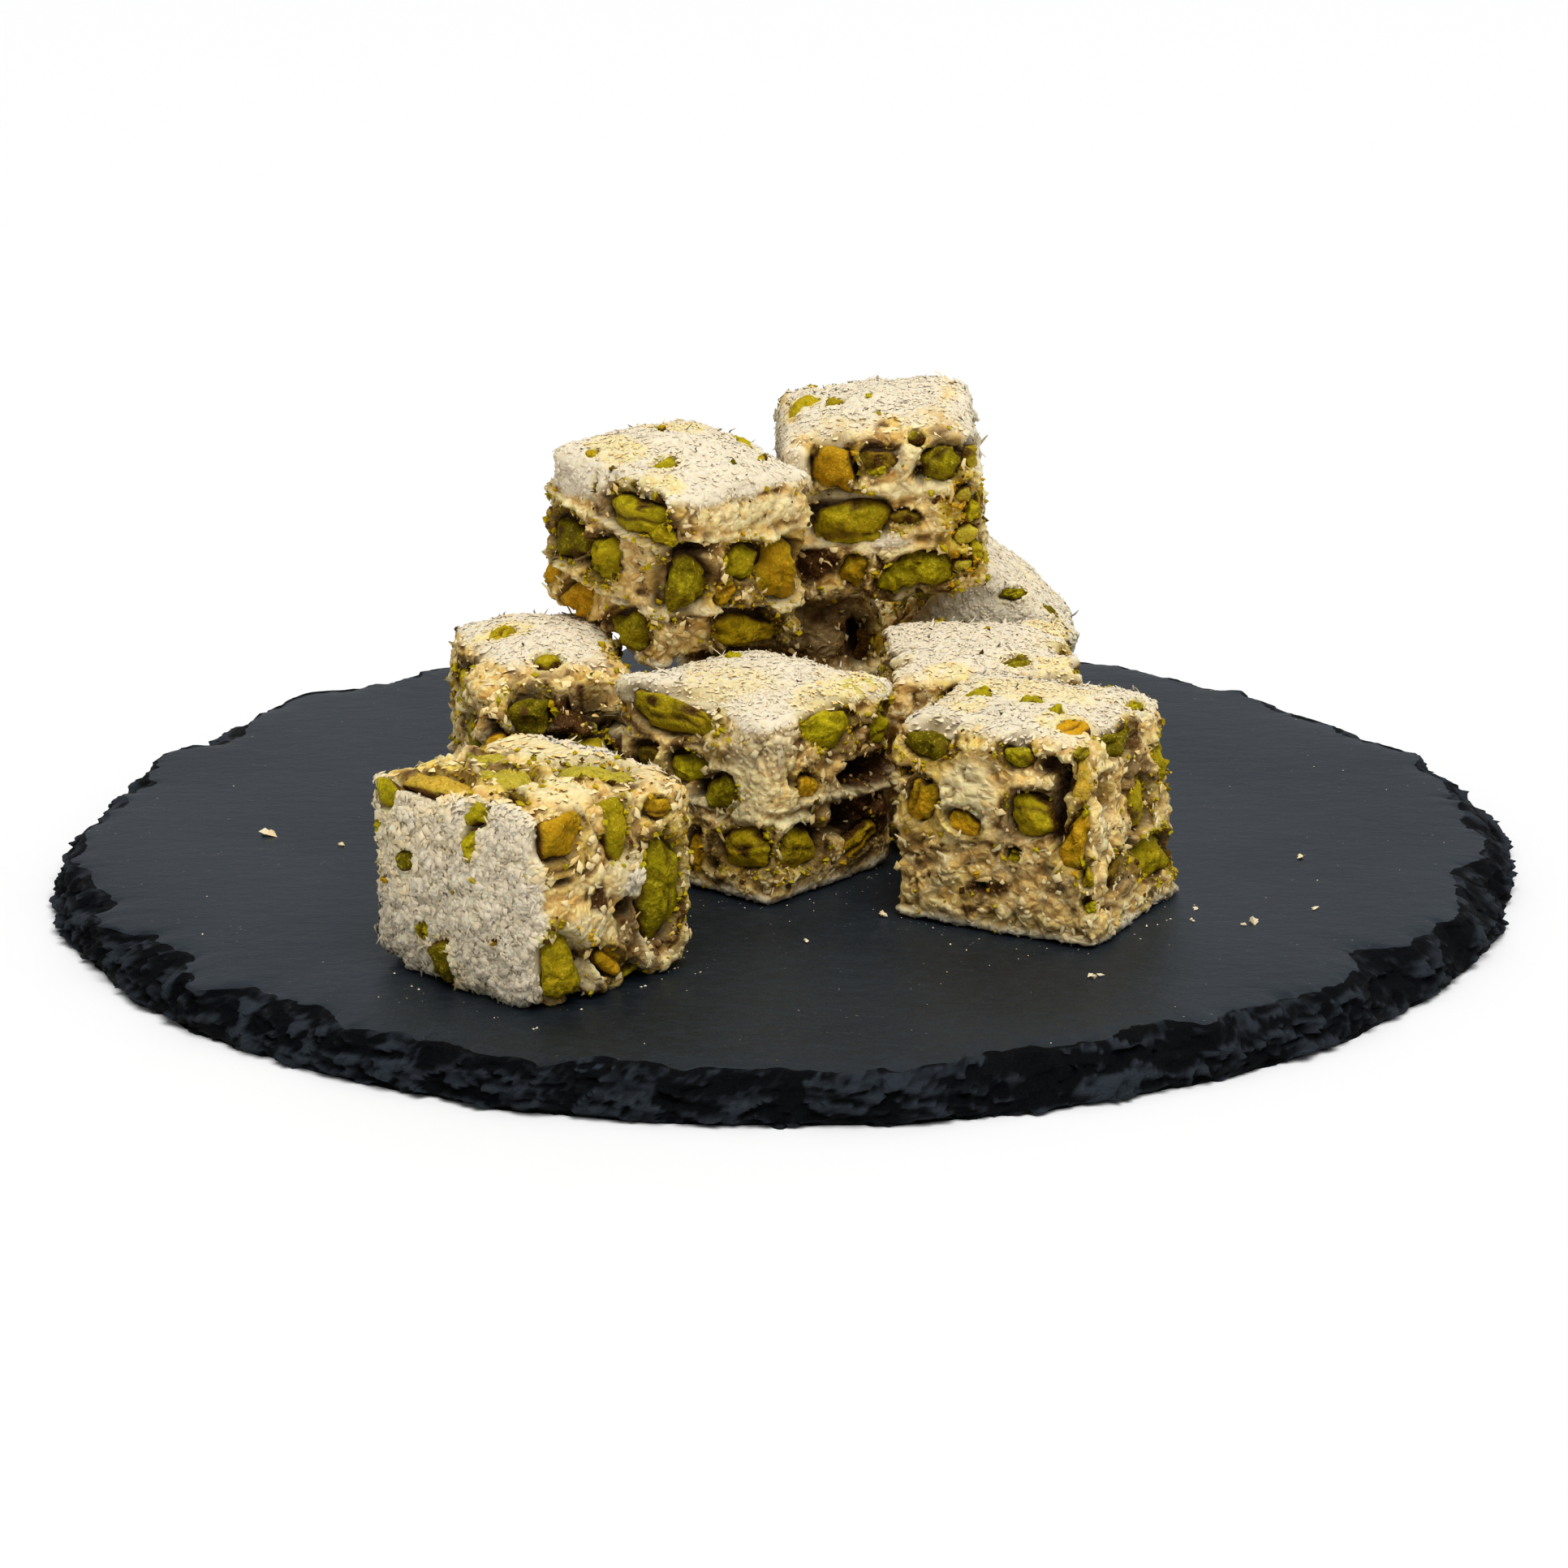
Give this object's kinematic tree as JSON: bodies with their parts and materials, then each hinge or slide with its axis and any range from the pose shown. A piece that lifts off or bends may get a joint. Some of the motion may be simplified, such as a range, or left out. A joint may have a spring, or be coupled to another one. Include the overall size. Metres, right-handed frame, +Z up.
{
  "type": "turkish delight",
  "caption": "Cut cubes of coconut-coated pistachio Turkish delight heaped on a flat round slate board with a hand-struck edge.",
  "frame": {"origin": "middle of the board's footprint, on the surface it stands on", "axes": "+Z up, -Y towards the front of the heap, +X to its right"},
  "size_m": [0.22, 0.2202, 0.0681],
  "materials": {
    "slate": "satin riven face, rough struck edge",
    "lokum": "matt, coconut coated, crumbly cut sides"
  },
  "bodies": {
    "root": {"slate_board": "slate", "lokum_front_left": "lokum", "lokum_front_right": "lokum", "lokum_middle": "lokum", "lokum_left": "lokum", "lokum_right": "lokum", "lokum_back": "lokum", "lokum_leaning": "lokum", "lokum_top_left": "lokum", "lokum_top_right": "lokum"}
  },
  "joints": []
}
